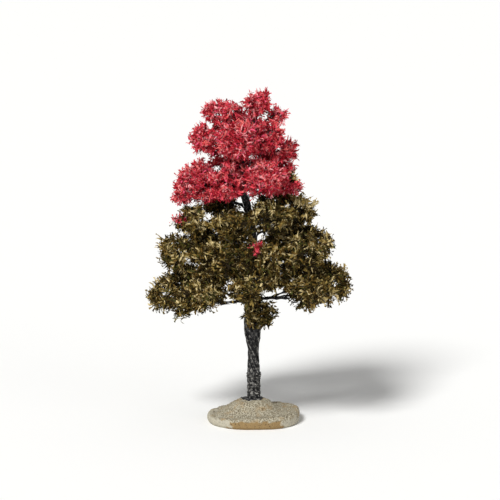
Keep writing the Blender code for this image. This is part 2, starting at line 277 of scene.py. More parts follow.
def castGritMaterial(look):
    # Cast stone mix, left as it came from the mould: a matt, sandy top with open pores, their dark painted
    # on as shade, a washed ochre patch on the front wall and chalky cream ends.
    material, tree, shader = newMaterial(
        "cast stone with sand grit", {"Roughness": 0.92, "Specular IOR Level": 0.25})
    place = addNode(tree, "TexCoord").outputs["Object"]
    clouds = {}
    for size, detail in (("grain", 3.0), ("blotch", 2.0), ("wander", 2.0), ("poreField", 1.0)):
        cloud = addNode(
            tree, "TexNoise", {"Scale": 1 / (look[size] * mm), "Detail": detail}, {"Vector": place})
        clouds[size] = cloud.outputs["Fac"]
    top = addNode(tree, "ValToRGB", {}, {"Fac": clouds["grain"]})
    stops = top.color_ramp.elements
    stops.new(look["top"][1][1])
    for stop, (colour, position) in zip(stops, look["top"]):
        stop.position = position
        stop.color = linear(colour)

    # brown stains in blotches over the top
    stainShare = addNode(
        tree, "MapRange", {"From Min": 0.52, "From Max": 0.70, "To Min": 0.0, "To Max": 0.55},
        {"Value": clouds["blotch"]})
    stained = addNode(
        tree, "Mix", {"data_type": "RGBA", 7: linear(look["stain"])},
        {0: stainShare.outputs["Result"], 6: top.outputs["Color"]})

    # the side wall: ochre in front, cream towards both ends, with wavy edges
    axes = addNode(tree, "SeparateXYZ", {}, {0: place})
    wavy = {}
    for axis, wave in (("X", look["waveAcross"] * mm), ("Z", look["waveUp"] * mm)):
        sway = addNode(
            tree, "MapRange", {"From Min": 0.3, "From Max": 0.7, "To Min": -wave, "To Max": wave},
            {"Value": clouds["wander"]})
        wavy[axis] = addNode(
            tree, "Math", {"operation": "ADD"}, {0: axes.outputs[axis], 1: sway.outputs["Result"]})
    wall = addNode(
        tree, "MapRange",
        {"From Min": (look["wallTop"] - look["wallBlend"]) * mm,
         "From Max": (look["wallTop"] + look["wallBlend"]) * mm, "To Min": 1.0, "To Max": 0.0},
        {"Value": wavy["Z"].outputs[0]})
    centred = addNode(
        tree, "Math", {"operation": "SUBTRACT", 1: look["ochreMiddle"] * mm}, {0: wavy["X"].outputs[0]})
    away = addNode(tree, "Math", {"operation": "ABSOLUTE"}, {0: centred.outputs[0]})
    ends = addNode(
        tree, "MapRange",
        {"From Min": (look["ochreHalf"] - look["ochreBlend"]) * mm,
         "From Max": (look["ochreHalf"] + look["ochreBlend"]) * mm},
        {"Value": away.outputs[0]})
    sideColour = addNode(
        tree, "Mix", {"data_type": "RGBA", 6: linear(look["ochre"]), 7: linear(look["cream"])},
        {0: ends.outputs["Result"]})
    sideGrit = addNode(
        tree, "Mix", {"data_type": "RGBA", "blend_type": "MULTIPLY", 0: 0.5},
        {6: sideColour.outputs[2], 7: top.outputs["Color"]})
    body = addNode(
        tree, "Mix", {"data_type": "RGBA"},
        {0: wall.outputs["Result"], 6: stained.outputs[2], 7: sideGrit.outputs[2]})

    # pores: pinholes painted dark as their shade, thicker in places
    pores = addNode(
        tree, "TexVoronoi", {"Scale": 1 / (look["poreStep"] * mm), "Randomness": 1.0}, {"Vector": place})
    poreSize = addNode(
        tree, "MapRange", {"From Min": 0.42, "From Max": 0.72, "To Min": 0.10, "To Max": 0.34},
        {"Value": clouds["poreField"]})
    inPore = addNode(
        tree, "Math", {"operation": "LESS_THAN"},
        {0: pores.outputs["Distance"], 1: poreSize.outputs["Result"]})
    poreShadeShare = addNode(
        tree, "Math", {"operation": "MULTIPLY", 1: look["poreShadeStrength"]}, {0: inPore.outputs[0]})
    final = addNode(
        tree, "Mix", {"data_type": "RGBA", 7: linear(look["poreShadeColour"])},
        {0: poreShadeShare.outputs[0], 6: body.outputs[2]})
    bump = addNode(
        tree, "Bump", {"Strength": 0.55, "Distance": look["bump"] * mm}, {"Height": clouds["grain"]})
    tree.links.new(final.outputs[2], shader.inputs["Base Color"])
    tree.links.new(bump.outputs["Normal"], shader.inputs["Normal"])
    return material


def castSkin():
    # the base's solid, remeshed into small even faces
    holder = objectFrom(mergedCopy("base"), "cast_base")
    remesh = holder.modifiers.new("remesh", "REMESH")
    remesh.mode = "VOXEL"
    remesh.voxel_size = baseLook["voxel"] * mm
    remesh.use_smooth_shade = True
    return meshFromModifiers("cast_base", holder)


def roughenCast(bm, look):
    # sand grit, soft lumps and a few pits everywhere but on the flat underside
    for _ in range(look["smoothTurns"]):
        bmesh.ops.smooth_vert(
            bm, verts=[v for v in bm.verts if v.co.z > look["smoothAbove"] * mm], factor=0.5,
            use_axis_x=True, use_axis_y=True, use_axis_z=True)
    bm.normal_update()
    for vert in bm.verts:
        if vert.co.z < look["flatBelow"] * mm:
            vert.co.z = max(vert.co.z, 0.0)
            continue
        place = vert.co / mm
        fineSize = look["fineGrit"] * look["gritSize"]
        grit = noise.noise(place / look["gritSize"]) + 0.5 * noise.noise(place / fineSize)
        lump = noise.noise(place / look["lumpSize"] + Vector((7.0, 0.0, 0.0)))
        topness = max(0.0, min(1.0, vert.normal.z * 1.6 - 0.2))  # 0 on the walls, 1 on the top
        rise = look["gritHeight"] * grit * (look["wallGrit"] + (1 - look["wallGrit"]) * topness)
        rise += look["lumpHeight"] * lump * topness
        for x, y, radius in look["pits"]:
            away = math.hypot(place.x - x, place.y - y) / radius
            if away < 1.0 and topness > 0.3:
                rise -= look["pitDepth"] * (1 - away * away) ** 2
        vert.co += vert.normal * rise * mm
        vert.co.z = max(vert.co.z, 0.05 * mm)


castBase = castSkin()
castShape = bmesh.new()
castShape.from_mesh(castBase.data)
roughenCast(castShape, baseLook)
castShape.to_mesh(castBase.data)
castTree = BVHTree.FromBMesh(castShape)
finishPiece(castBase, castGritMaterial(baseLook), ["base"])


# the black paint on every wire
wireLook = {
    "scuff": 1.1,  # size of the bare and dusty spots, drawn coarse so that they show
    "black": "#0b0b0c",
    "grey": "#29292b",
    "dust": "#a3a09a",
    "stops": (0.42, 0.56, 0.74),  # where the pattern is black, grey and dusty
    "dustTop": 22.0,  # below this height the paint is dustier
    "dustBlend": 1.5,
    "dustLow": 0.04,
    "dustHigh": 0.0,
    "bump": 0.05,
}


def paintedWireMaterial(name, look):
    # Iron wire under brushed black enamel: near black and half glossy, with grey where
    # the brush skipped and pale dust in the turns of the binding.
    material, tree, shader = newMaterial(name, {"Specular IOR Level": 0.22})
    place = addNode(tree, "TexCoord").outputs["Object"]
    scuff = addNode(
        tree, "TexNoise", {"Scale": 1 / (look["scuff"] * mm), "Detail": 3.0, "Roughness": 0.65},
        {"Vector": place})
    height = addNode(tree, "SeparateXYZ", {}, {0: place}).outputs["Z"]
    dusty = addNode(
        tree, "MapRange",
        {"From Min": (look["dustTop"] - look["dustBlend"]) * mm,
         "From Max": (look["dustTop"] + look["dustBlend"]) * mm,
         "To Min": look["dustLow"], "To Max": look["dustHigh"]},
        {"Value": height})
    lifted = addNode(
        tree, "Math", {"operation": "ADD"}, {0: scuff.outputs["Fac"], 1: dusty.outputs["Result"]})
    colour = addNode(tree, "ValToRGB", {}, {"Fac": lifted.outputs[0]})
    stops = colour.color_ramp.elements
    stops.new(look["stops"][1])
    for stop, position, shade in zip(stops, look["stops"], ("black", "grey", "dust")):
        stop.position = position
        stop.color = linear(look[shade])
    rough = addNode(
        tree, "MapRange", {"From Min": 0.4, "From Max": 0.75, "To Min": 0.32, "To Max": 0.75},
        {"Value": lifted.outputs[0]})
    bump = addNode(
        tree, "Bump", {"Strength": 0.3, "Distance": look["bump"] * mm}, {"Height": scuff.outputs["Fac"]})
    tree.links.new(colour.outputs["Color"], shader.inputs["Base Color"])
    tree.links.new(rough.outputs["Result"], shader.inputs["Roughness"])
    tree.links.new(bump.outputs["Normal"], shader.inputs["Normal"])
    return material


trunkPaint = paintedWireMaterial("black enamel on iron wire", wireLook)
# painted highlight: some trunk strands get paler enamel, partly grey dry-brushing and partly the light that
# streaks along the glossy wires
brushedHighlightPaint = paintedWireMaterial(
    "enamel on iron wire, dry-brushed grey and painted highlight", dict(wireLook, black="#2c2c2d", grey="#7a7874", dust="#bfbcb6"))
bindingPaint = paintedWireMaterial(
    "dusty enamel on binding wire", dict(wireLook, black="#0e0e0f", grey="#3b3a38", dust="#b9b6b0"))
boughPaint = paintedWireMaterial("black enamel on bough wire", dict(wireLook, dustLow=0.02))

footLook = {
    "middle": (-0.5, 0.0),
    "radius": 5.0,
    "wobble": 1.1,
    "lobes": 1.7,  # more of them make the edge wavier
    "steepest": 0.1,  # upward part of a face's normal
    "lowest": 3.0,  # how far down the base it ran
    "thick": 0.25,
    "sunk": 0.10,  # how deep its underside lies in the base
}


def paintFoot(bm, look):
    # paint that ran on to the base round the trunk's foot, cut from a copy of the base's skin
    doomed = []
    for face in bm.faces:
        place = face.calc_center_median() / mm
        x = place.x - look["middle"][0]
        y = place.y - look["middle"][1]
        turn = math.atan2(y, x)
        wave = noise.noise(Vector((math.cos(turn), math.sin(turn), 0.0)) * look["lobes"])
        reach = look["radius"] + look["wobble"] * wave
        if math.hypot(x, y) > reach or face.normal.z < look["steepest"] or place.z < look["lowest"]:
            doomed.append(face)
    bmesh.ops.delete(bm, geom=doomed, context="FACES")
    under = {v: v.co - v.normal * look["sunk"] * mm for v in bm.verts}
    bm.normal_update()
    raised = bmesh.ops.extrude_face_region(bm, geom=bm.faces[:], use_keep_orig=True)
    for vert in [g for g in raised["geom"] if isinstance(g, bmesh.types.BMVert)]:
        vert.co += vert.normal * look["thick"] * mm
    for vert, place in under.items():
        vert.co = place
    bmesh.ops.recalc_face_normals(bm, faces=bm.faces[:])
    return objectFrom(bm, "foot_paint")


finishPiece(paintFoot(castShape, footLook), trunkPaint)


# the twisted trunk
trunkLook = {
    "sectionStep": 1.5,  # between the sections that are read from the solid
    "strands": 28,
    "wire": 0.29,  # radius
    "lean": 27.0,  # degrees that the strands lean from the trunk's run
    "weave": 0.20,  # how far a strand rises and sinks
    "step": 1.0,
    "coreInset": 0.42,  # the core lies this far under the trunk's surface
    "packing": 2.2,  # wire radii that one strand takes round the trunk
    "startStray": 0.06,  # radians that a strand starts off its place
    "paceStray": 0.05,  # share by which it winds faster or slower
    "wave": 0.35,  # radians of its rise and fall to a millimetre of height
    "waves": (0.85, 1.15),  # of that, from strand to strand
    "wires": (0.82, 1.15),  # of the wire's radius
    "highlightStrands": (2, 4),  # the first strand painted paler, partly grey dry-brushing and partly painted highlight, and how many on the next is
}

trunkLow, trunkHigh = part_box("trunk")


def trunkSections():
    # rows of height, middle and radius up the trunk's solid, in metres
    solid = mergedCopy("trunk")
    rows = []
    for height in np.arange(trunkLow.z + 0.4 * mm, trunkHigh.z - 0.2 * mm, trunkLook["sectionStep"] * mm):
        ring = ringAt(solid, Vector((0.0, 0.0, float(height))), Vector((0.0, 0.0, 1.0)))
        if ring:
            rows.append((float(height), ring[0].x, ring[0].y, ring[1]))
    solid.free()
    return np.array(rows)


sections = trunkSections()


def trunkAt(height):
    # the middle of the trunk and its radius at a height
    x, y, radius = (float(np.interp(height, sections[:, 0], sections[:, k])) for k in (1, 2, 3))
    return Vector((x, y, height)), radius


def aroundTrunk(height, angle, radius):
    middle, _ = trunkAt(height)
    return middle + Vector((math.cos(angle), math.sin(angle), 0.0)) * radius


def twistStrands(look):
    # a core, then wires that wind up round it at one slant, each a little off the rest
    heights = np.arange(trunkLow.z + 0.3 * mm, trunkHigh.z, look["step"] * mm)
    radii = np.array([trunkAt(float(h))[1] for h in heights])
    turning = -np.cumsum(math.tan(math.radians(look["lean"])) / radii * look["step"] * mm)
    room = math.tau * radii / (look["packing"] * look["wire"] * mm)
    inset = look["coreInset"] * mm
    strands = [[(trunkAt(float(h))[0], float(r) - inset) for h, r in zip(heights[::3], radii[::3])]]
    last = len(heights) - 1
    for number in range(look["strands"]):
        stray = float(dice.uniform(-look["startStray"], look["startStray"]))
        start = math.tau * number / look["strands"] + stray
        pace = 1.0 + float(dice.normal(0.0, look["paceStray"]))
        phase = float(dice.uniform(0, math.tau))
        wave = look["wave"] * float(dice.uniform(*look["waves"]))
        wireRadius = look["wire"] * mm * float(dice.uniform(*look["wires"]))
        # thinner stretches of trunk have room for fewer strands
        top = int(np.nonzero(room + 3 >= number * 0.9)[0][-1])
        strand = []
        for k in range(top + 1):
            height = float(heights[k])
            # a strand that ends early dives in
            sink = min(1.0, (top - k) / 3) if top < last else 1.0
            lift = look["weave"] * mm * math.sin(phase + height / mm * wave)
            radius = (float(radii[k]) - wireRadius + lift) * (0.6 + 0.4 * sink)
            strand.append((aroundTrunk(height, start + float(turning[k]) * pace, radius), wireRadius))
        strands.append(strand)
    return strands


strands = twistStrands(trunkLook)
# every few strands are painted paler, as dry-brushed grey and painted highlight
firstHighlightStrand, highlightStrandsEvery = trunkLook["highlightStrands"]
highlightStrands = strands[firstHighlightStrand::highlightStrandsEvery]
black = [strand for strand in strands if strand not in highlightStrands]
print("trunk strands:", len(strands))
finishPiece(wirePiece("trunk_strands", black, 1), trunkPaint, ["trunk"])
finishPiece(wirePiece("trunk_strands_painted_highlight", highlightStrands, 1), brushedHighlightPaint, ["trunk"])

bindingLook = {
    "top": 21.4,
    "wire": 0.17,  # radius
    "unruly": 0.10,  # how far the wire strays from the trunk
    "climb": 0.35,  # and up or down
    "pointsPerTurn": 20,
    "buried": 0.5,  # how deep the windings start in the base
    # how far under the top a winding ends, its pitch, how proud it lies, which way round, where from
    "windings": ((0.0, 0.95, 0.02, 1, 0.4), (1.0, 2.9, 0.12, -1, 2.0), (3.0, 4.1, 0.10, -1, 4.4)),
    "collars": ((20.6, 3, 0.34), (15.4, 2, 0.26), (12.6, 2, 0.26)),  # height, turns, wire radius
    "collarPitch": 1.9,  # wire radii to one turn
    "collarProud": 0.12,
}


def winding(low, high, pitch, wireRadius, proud, handed, start):
    # wire wound round the trunk between two heights, in millimetres
    count = max(8, int((high - low) / pitch * bindingLook["pointsPerTurn"]))
    wire = []
    for k in range(count + 1):
        height = low + (high - low) * k / count
        angle = start + handed * math.tau * (height - low) / pitch
        spot = Vector((math.cos(angle), math.sin(angle), height * 1.3)) * 1.5 + Vector((start, 0, 0))
        stray = bindingLook["unruly"] * noise.noise(spot)
        _, radius = trunkAt(height * mm)
        height += bindingLook["climb"] * noise.noise(Vector((angle * 0.35, start, 3.0)))
        wire.append((aroundTrunk(height * mm, angle, radius + (proud + stray) * mm), wireRadius * mm))
    return wire


overBase = Vector((4.0 * mm, 0.0, 0.1))
footTop = castTree.ray_cast(overBase, Vector((0.0, 0.0, -1.0)))[0].z / mm
binding = [
    winding(
        footTop - bindingLook["buried"], bindingLook["top"] - below, pitch, bindingLook["wire"],
        proud, handed, start)
    for below, pitch, proud, handed, start in bindingLook["windings"]]
for height, turns, wireRadius in bindingLook["collars"]:
    pitch = wireRadius * bindingLook["collarPitch"]
    half = pitch * turns / 2
    binding.append(
        winding(height - half, height + half, pitch, wireRadius, bindingLook["collarProud"], 1, height))
finishPiece(wirePiece("trunk_binding", binding, 1), bindingPaint)


# the foliage masses, as closed shapes to fill with twigs and shavings
massNames = sorted(n for n in cadNodes if n not in ("base", "trunk") and not n.startswith("bough_"))
roseNames = [n for n in massNames if n.startswith("rose_")]
oliveNames = [n for n in massNames if not n.startswith("rose_")]
boughNames = sorted(n for n in cadNodes if n.startswith("bough_"))
massTrees, massBoxes, massFaces = {}, {}, {}
for name in massNames:
    bm = mergedCopy(name)
    massTrees[name] = BVHTree.FromBMesh(bm)
    massBoxes[name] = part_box(name)
    massFaces[name] = [(f.calc_area(), f.normal.copy(), [v.co.copy() for v in f.verts]) for f in bm.faces]
    bm.free()


def depthIn(name, place):
    # how deep a place lies inside a mass; below zero outside it
    near, normal, _, away = massTrees[name].find_nearest(place)
    return away if (place - near).dot(normal) < 0 else -away


def massMiddle(name):
    low, high = massBoxes[name]
    return (low + high) / 2


def insideOther(name, place):
    for other in massNames:
        if other == name:
            continue
        low, high = massBoxes[other]
        if all(low[k] < place[k] < high[k] for k in range(3)) and depthIn(other, place) > 0:
            return True
    return False


# Openings: where the sky shows through the crown on the line of sight, as ellipses on the
# plane through the trunk: across, up, half width and half height.
skyHoles = (
    (-19.6, 92.2, 2.8, 2.0), (-17.4, 85.2, 1.5, 1.3), (-32.8, 85.9, 1.8, 0.6), (-31.1, 89.8, 0.7, 0.5),
    (-29.2, 72.5, 1.8, 2.0), (-24.6, 69.8, 2.4, 1.5), (-9.3, 63.2, 0.8, 0.9), (-5.3, 62.3, 0.9, 0.9),
    (-22.5, 60.0, 0.7, 0.9), (-13.2, 60.0, 0.7, 0.9), (-7.3, 58.0, 1.1, 1.1), (10.9, 98.7, 0.5, 0.9),
    (14.1, 96.7, 0.9, 1.1), (24.4, 88.7, 1.6, 0.6), (2.9, 89.6, 0.6, 1.1), (0.4, 85.5, 0.9, 1.1),
    (-7.3, 81.9, 0.6, 0.7), (-4.9, 80.1, 0.9, 1.1), (23.0, 74.9, 1.3, 1.8), (32.8, 74.9, 1.4, 1.8),
    (17.2, 64.1, 1.4, 1.8), (7.0, 56.7, 5.4, 2.9), (14.6, 55.0, 2.2, 2.8), (-19.1, 132.5, 2.0, 1.8),
    (5.0, 130.3, 0.7, 0.9), (10.3, 122.8, 1.1, 0.8), (-19.9, 117.2, 1.8, 1.1), (-16.3, 113.7, 2.6, 1.6),
    (-0.5, 117.9, 0.5, 0.9), (-0.5, 114.3, 0.5, 0.4), (-6.5, 97.6, 2.5, 3.8), (-1.8, 100.5, 0.9, 0.9),
    (-5.1, 94.7, 1.1, 0.9),
)
# and where the skirt's underside arches up
bareUnder = ((-12.9, 50.1, 8.8, 2.8), (30.9, 50.6, 5.0, 2.5))


def onTrunkPlane(places):
    # where lines of sight through places (an array, metres) cross the plane through the trunk
    places = np.asarray(places, float)
    share = -places[..., 1] / (eye.y - places[..., 1])
    across = places[..., 0] + (eye.x - places[..., 0]) * share
    up = places[..., 2] + (eye.z - places[..., 2]) * share
    return across / mm, up / mm


def inSkyHole(places, margin=0.0):
    across, up = onTrunkPlane(places)
    inside = np.zeros(across.shape, bool)
    for x, z, halfWidth, halfHeight in skyHoles + bareUnder:
        inside |= ((across - x) / (halfWidth + margin)) ** 2 + ((up - z) / (halfHeight + margin)) ** 2 < 1
    return inside


# Tufts are the ends of the twigs. They sit in clumps a few millimetres across, with dark
# clefts between them, where cleftShare of the tufts stay and lie deeper in.
tuftLook = {
    "olive": {"clumpSpacing": 6.2, "clumpInset": 2.8, "spacing": 2.15, "inset": 1.15, "cleftShare": 0.25},
    "rose": {"clumpSpacing": 5.0, "clumpInset": 2.6, "spacing": 1.95, "inset": 1.20, "cleftShare": 0.70},
    "clumpRadius": 3.2,
    "cleftInset": 1.5,
    "coreSpacing": 4.2,
    "coreDepth": 3.6,
    "clumpTries": 0.30,  # places tried for a clump to a square millimetre of skin
    "skinTries": 0.60,  # and for a tuft
    "coreTries": 0.03,  # places tried inside, to a cubic millimetre
    "cover": 1.6,  # a tuft with another mass this far outside it doesn't show
    "cell": 6.0,  # of the grid that neighbours are looked up in
    "holeMargin": 0.3,  # tufts keep this much clear of the openings
}

tufts = {"place": [], "outward": [], "family": [], "owner": [], "shown": []}
takenByTufts, takenByClumps = {}, {}
neighbours = [(x, y, z) for x in (-1, 0, 1) for y in (-1, 0, 1) for z in (-1, 0, 1)]


def roomFor(place, spacing, taken):
    # whether a place keeps its spacing from those taken; if it does, it is taken too
    key = tuple(int(math.floor(c / (tuftLook["cell"] * mm))) for c in place)
    for x, y, z in neighbours:
        for other in taken.get((key[0] + x, key[1] + y, key[2] + z), ()):
            if (other - place).length < spacing * mm:
                return False
    taken.setdefault(key, []).append(place)
    return True


def addTuft(owner, family, place, outward, shown):
    for key, value in zip(tufts, (place, outward, family, owner, shown)):
        tufts[key].append(value)


def surfaceSamples(name, perSquareMillimetre):
    # places spread over a mass's skin, each with the face's normal
    faces = massFaces[name]
    areas = np.array([f[0] for f in faces])
    tries = int(areas.sum() / mm ** 2 * perSquareMillimetre)
    picks = dice.choice(len(faces), size=tries, p=areas / areas.sum())
    for pick, (a, b) in zip(picks, dice.random((tries, 2))):
        _, normal, corners = faces[pick]
        if a + b > 1:
            a, b = 1 - a, 1 - b
        yield corners[0] + (corners[1] - corners[0]) * a + (corners[2] - corners[0]) * b, normal


def clumpMiddles(name, look):
    clumps = []
    for surface, normal in surfaceSamples(name, tuftLook["clumpTries"]):
        place = surface - normal * look["clumpInset"] * mm
        deep = depthIn(name, place) > 0.5 * look["clumpInset"] * mm
        if deep and roomFor(place, look["clumpSpacing"], takenByClumps):
            clumps.append(place)
    return clumps or [massMiddle(name)]


def seedSkin(name, family, look, clumps):
    # tufts just under a mass's skin, leaning out from the middle of their clump
    clumpArray = np.array(clumps)
    for surface, normal in surfaceSamples(name, tuftLook["skinTries"]):
        inset = look["inset"] * float(dice.uniform(0.7, 1.3))
        place = surface - normal * inset * mm
        away = np.linalg.norm(clumpArray - np.array(place), axis=1)
        if away.min() > tuftLook["clumpRadius"] * mm:
            if dice.random() > look["cleftShare"]:
                continue
            place = place - normal * tuftLook["cleftInset"] * mm
        if depthIn(name, place) < 0.5 * inset * mm or not roomFor(place, look["spacing"], takenByTufts):
            continue
        shown = not insideOther(name, surface + normal * tuftLook["cover"] * mm)
        outward = normal
        fromClump = place - clumps[int(away.argmin())]
        if fromClump.length > 0.2 * mm:
            outward = (fromClump.normalized() * 0.7 + normal * 0.5).normalized()
        addTuft(name, family, place, outward, shown)


def seedCore(name, family):
    # a few tufts deep inside, so that a mass isn't hollow where its clefts open it
    low, high = massBoxes[name]
    size = high - low
    for _ in range(int(size.x * size.y * size.z / mm ** 3 * tuftLook["coreTries"])):
        place = low + Vector((size.x * dice.random(), size.y * dice.random(), size.z * dice.random()))
        deep = depthIn(name, place) > tuftLook["coreDepth"] * mm
        if deep and roomFor(place, tuftLook["coreSpacing"], takenByTufts):
            addTuft(name, family, place, (place - massMiddle(name)).normalized(), False)


for name in massNames:
    family = "rose" if name in roseNames else "olive"
    seedSkin(name, family, tuftLook[family], clumpMiddles(name, tuftLook[family]))
    seedCore(name, family)

# rose shavings that hang before the leader, in front of the masses: owner, then places
roseDrapes = {
    "rose_lower_right_front": (
        (-4.5, -4.5, 115.0), (-6.5, -4.0, 112.5), (-3.5, -5.0, 111.0), (-3.0, -5.5, 108.0),
        (-1.5, -5.0, 105.0), (-0.5, -5.0, 112.0), (-3.0, -5.0, 118.0), (1.5, -5.0, 116.5),
        (-6.0, -4.5, 119.0)),
    "rose_middle_right_front": (
        (6.0, -4.5, 122.5), (8.5, -4.0, 126.0), (7.0, -4.5, 129.5), (9.5, -4.0, 133.0)),
}
for name, places in roseDrapes.items():
    for place in places:
        addTuft(name, "rose", Vector(place) * mm, Vector((0.0, -0.97, 0.25)), True)
tufts = {key: np.array(values) for key, values in tufts.items()}

# dye that strayed on to the tree's front: its colour family, then across, up and radius
strayDye = (
    ("rose", -39.0, 84.3, 2.6), ("rose", -33.2, 89.8, 2.0), ("rose", 1.7, 77.7, 2.4),
    ("rose", -32.8, 93.0, 1.6), ("olive", 17.2, 109.9, 3.0),
)
tuftAcross, tuftUp = onTrunkPlane(tufts["place"])
for family, x, z, radius in strayDye:
    near = (np.hypot(tuftAcross - x, tuftUp - z) < radius) & (tufts["place"][:, 1] < 0) & tufts["shown"]
    tufts["family"] = np.where(near, family, tufts["family"])
clear = ~inSkyHole(tufts["place"], tuftLook["holeMargin"])
tufts = {key: values[clear] for key, values in tufts.items()}
tuftPlaces = tufts["place"]
print("tufts:", len(tuftPlaces), "shown:", int(tufts["shown"].sum()))


# boughs: bundles of wires out of the trunk; radii unless a note says otherwise
boughLook = {
    "wires": 6,  # in a limb that shows
    "hiddenWires": 4,  # in one inside the foliage
    "wire": 0.23,
    "endWire": 0.207,  # where it leaves the bundle
    "tipWire": 0.13,
    "turnEvery": 9.0,  # length of one turn of the bundle
    "closest": 0.15,  # of a wire to its bundle's middle
    # how far below its root a wire comes up the trunk, and how proud of the strands
    "lead": ((5.0, -0.35), (3.4, -0.05), (1.8, 0.12)),
    "leadLowest": 42.0,  # height under which the trunk is left bare
    "lean": (0.10, 0.12),  # radians: for each millimetre below the root, and between two wires
    "bend": 0.45,  # share of its way that a free end first follows the limb
    "stray": 0.25,  # how far the free ends wander
}
hiddenLimb = {"low": 46.0, "high": 134.0, "slope": 0.45, "reach": 0.6, "sag": 0.8, "radius": 0.55}
twigLook = {
    "base": 0.15, "tip": 0.075, "thinning": 0.72, "sag": 0.10, "wander": 0.12, "shortest": 0.3,
    "detour": 0.35,  # how much a long way back to a wire counts against a near twig
}


def limbPath(nodeName):
    # middles and radii from the root to the tip of a bough's solid
    solid = mergedCopy(nodeName)
    reach = []
    for v in solid.verts:
        middle, _ = trunkAt(v.co.z)
        reach.append((math.hypot(v.co.x - middle.x, v.co.y - middle.y), v.co.copy()))
    reach.sort(key=lambda r: r[0])
    count = max(3, len(reach) // 6)
    root = sum((p for _, p in reach[:count]), Vector()) / count
    tip = sum((p for _, p in reach[-count:]), Vector()) / count
    path = []
    for share in (0.04, 0.25, 0.5, 0.75, 0.96):
        place = root.lerp(tip, share)
        ring = ringAt(solid, place, (tip - root).normalized())
        path.append(ring or (place, 0.8 * mm))
    solid.free()
    return path


def hiddenPath(middle):
    # the same for a mass with no limb of its own: thinner wires leave the trunk in the foliage
    away = math.hypot(middle.x, middle.y)
    rootHeight = middle.z - hiddenLimb["slope"] * away
    rootHeight = min(max(rootHeight, hiddenLimb["low"] * mm), hiddenLimb["high"] * mm)
    foot, radius = trunkAt(rootHeight)
    outward = Vector((middle.x - foot.x, middle.y - foot.y, 0.0)).normalized()
    root = foot + outward * radius * 0.8
    inner = root.lerp(middle, hiddenLimb["reach"])
    path = []
    for share in (0, 0.33, 0.66, 1):
        sag = Vector((0, 0, -hiddenLimb["sag"] * mm * math.sin(math.pi * share)))
        path.append((root.lerp(inner, share) + sag, hiddenLimb["radius"] * mm))
    return path


def farApart(places, count):
    # a few places of many, each as far as can be from those before it
    chosen = [int(dice.integers(len(places)))]
    away = np.linalg.norm(places - places[chosen[0]], axis=1)
    while len(chosen) < min(count, len(places)):
        chosen.append(int(away.argmax()))
        away = np.minimum(away, np.linalg.norm(places - places[chosen[-1]], axis=1))
    return [Vector(places[k]) for k in chosen]


def bundle(path, count, aims):
    # A limb's wires: up the trunk, twisted along the path, then each to an aim of its own.
    # Also returns the places and radii of their free ends, for twigs to grow on.
    look = boughLook
    rootPlace, tipPlace = path[0][0], path[-1][0]
    rootMiddle, _ = trunkAt(rootPlace.z)
    rootAngle = math.atan2(rootPlace.y - rootMiddle.y, rootPlace.x - rootMiddle.x)
    run = (tipPlace - rootPlace).normalized()
    side = run.cross(Vector((0.0, 0.0, 1.0))).normalized()
    over = side.cross(run).normalized()
    wires, freeEnds = [], []
    for number in range(count):
        wire = []
        # the wire comes up the trunk in the lie of its strands, then turns out
        for drop, proud in look["lead"]:
            height = rootPlace.z - drop * mm
            if height < look["leadLowest"] * mm:
                continue
            angle = rootAngle + look["lean"][0] * drop + look["lean"][1] * (number - count / 2)
            radius = trunkAt(height)[1] + proud * mm
            wire.append((aroundTrunk(height, angle, radius), look["wire"] * mm))
        gone = 0.0
        for k, (place, radius) in enumerate(path):
            if k:
                gone += (place - path[k - 1][0]).length
            turn = math.tau * number / count + math.tau * gone / (look["turnEvery"] * mm)
            offset = max(radius - look["wire"] * mm, look["closest"] * mm)
            share = k / (len(path) - 1)
            wireRadius = mm * (look["wire"] * (1 - share) + look["endWire"] * share)
            wire.append((place + (side * math.cos(turn) + over * math.sin(turn)) * offset, wireRadius))
        last = wire[-1][0]
        goal = aims[number % len(aims)]
        bend = last + run * (goal - last).length * look["bend"]
        for share in (0.25, 0.5, 0.75, 1.0):
            place = last.lerp(bend, share).lerp(bend.lerp(goal, share), share)
            place += Vector(dice.normal(0, look["stray"] * mm, 3)) * (1 - share)
            wireRadius = mm * (look["endWire"] * (1 - share) + look["tipWire"] * share)
            wire.append((place, wireRadius))
            freeEnds.append((place, wireRadius))
        wires.append(wire)
    return wires, freeEnds


def growTwigs(own, tipPlace, freeEnds):
    # each tuft joins the nearest wire or twig already grown, those closest to the tip first
    waiting = own[np.argsort(np.linalg.norm(tuftPlaces[own] - np.array(tipPlace), axis=1))]
    grown = [np.array(place) for place, _ in freeEnds]
    thick = [radius for _, radius in freeEnds]
    runs = [0.0] * len(grown)  # how far each is along its twigs from a wire
    grownTwigs = []
    for index in waiting:
        goal = tuftPlaces[index]
        spots = np.array(grown)
        away = np.linalg.norm(spots - goal, axis=1)
        nearest = int((away + twigLook["detour"] * np.array(runs)).argmin())
        if away[nearest] < twigLook["shortest"] * mm:
            continue
        start = Vector(spots[nearest])
        end = Vector(goal)
        length = (end - start).length
        startRadius = min(thick[nearest], twigLook["base"] * mm)
        endRadius = max(startRadius * twigLook["thinning"], twigLook["tip"] * mm)
        halfRadius = (startRadius + endRadius) / 2
        bow = Vector(dice.normal(0, twigLook["wander"] * length, 3))
        half = start.lerp(end, 0.5) + (bow + Vector((0, 0, -twigLook["sag"] * length)))
        grownTwigs.append([(start, startRadius), (start.lerp(half, 0.9), halfRadius), (end, endRadius)])
        for place, radius, share in ((half, halfRadius, 0.5), (end, endRadius, 1.0)):
            grown.append(np.array(place))
            thick.append(radius)
            runs.append(runs[nearest] + share * length)
    return grownTwigs


